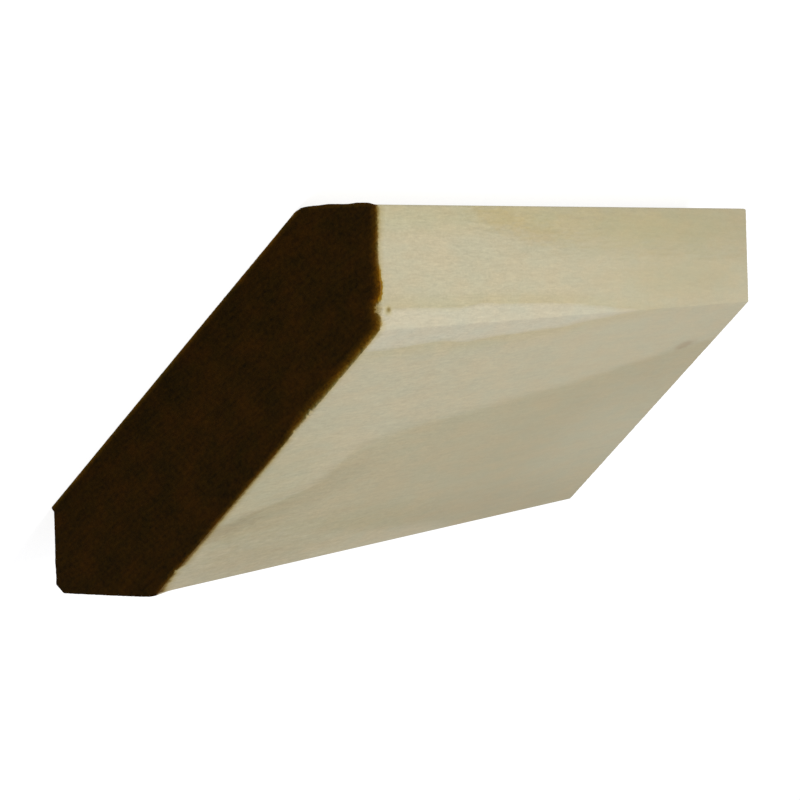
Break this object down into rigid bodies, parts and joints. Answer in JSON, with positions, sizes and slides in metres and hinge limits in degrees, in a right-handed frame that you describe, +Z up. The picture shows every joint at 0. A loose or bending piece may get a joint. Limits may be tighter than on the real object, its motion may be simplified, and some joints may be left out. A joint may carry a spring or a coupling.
{
  "type": "crown moulding",
  "caption": "Short length of plain flat-faced wooden crown moulding: a hexagonal section with square nose and bottom edges and bevelled lands for ceiling and wall, sawn square at both ends.",
  "frame": {"origin": "middle of the underside of the bounding box, with the stock lying on its back", "axes": "+X along the length, from the stained end towards the bare end; +Y across the width, towards the nose and the ceiling land; +Z up through the thickness, out of the front face"},
  "size_m": [0.146, 0.069, 0.0191],
  "materials": {
    "planed_wood": "bare planed hardwood, one sawn end stained dark brown"
  },
  "bodies": {
    "root": {"crown_moulding": "planed_wood"}
  },
  "joints": []
}
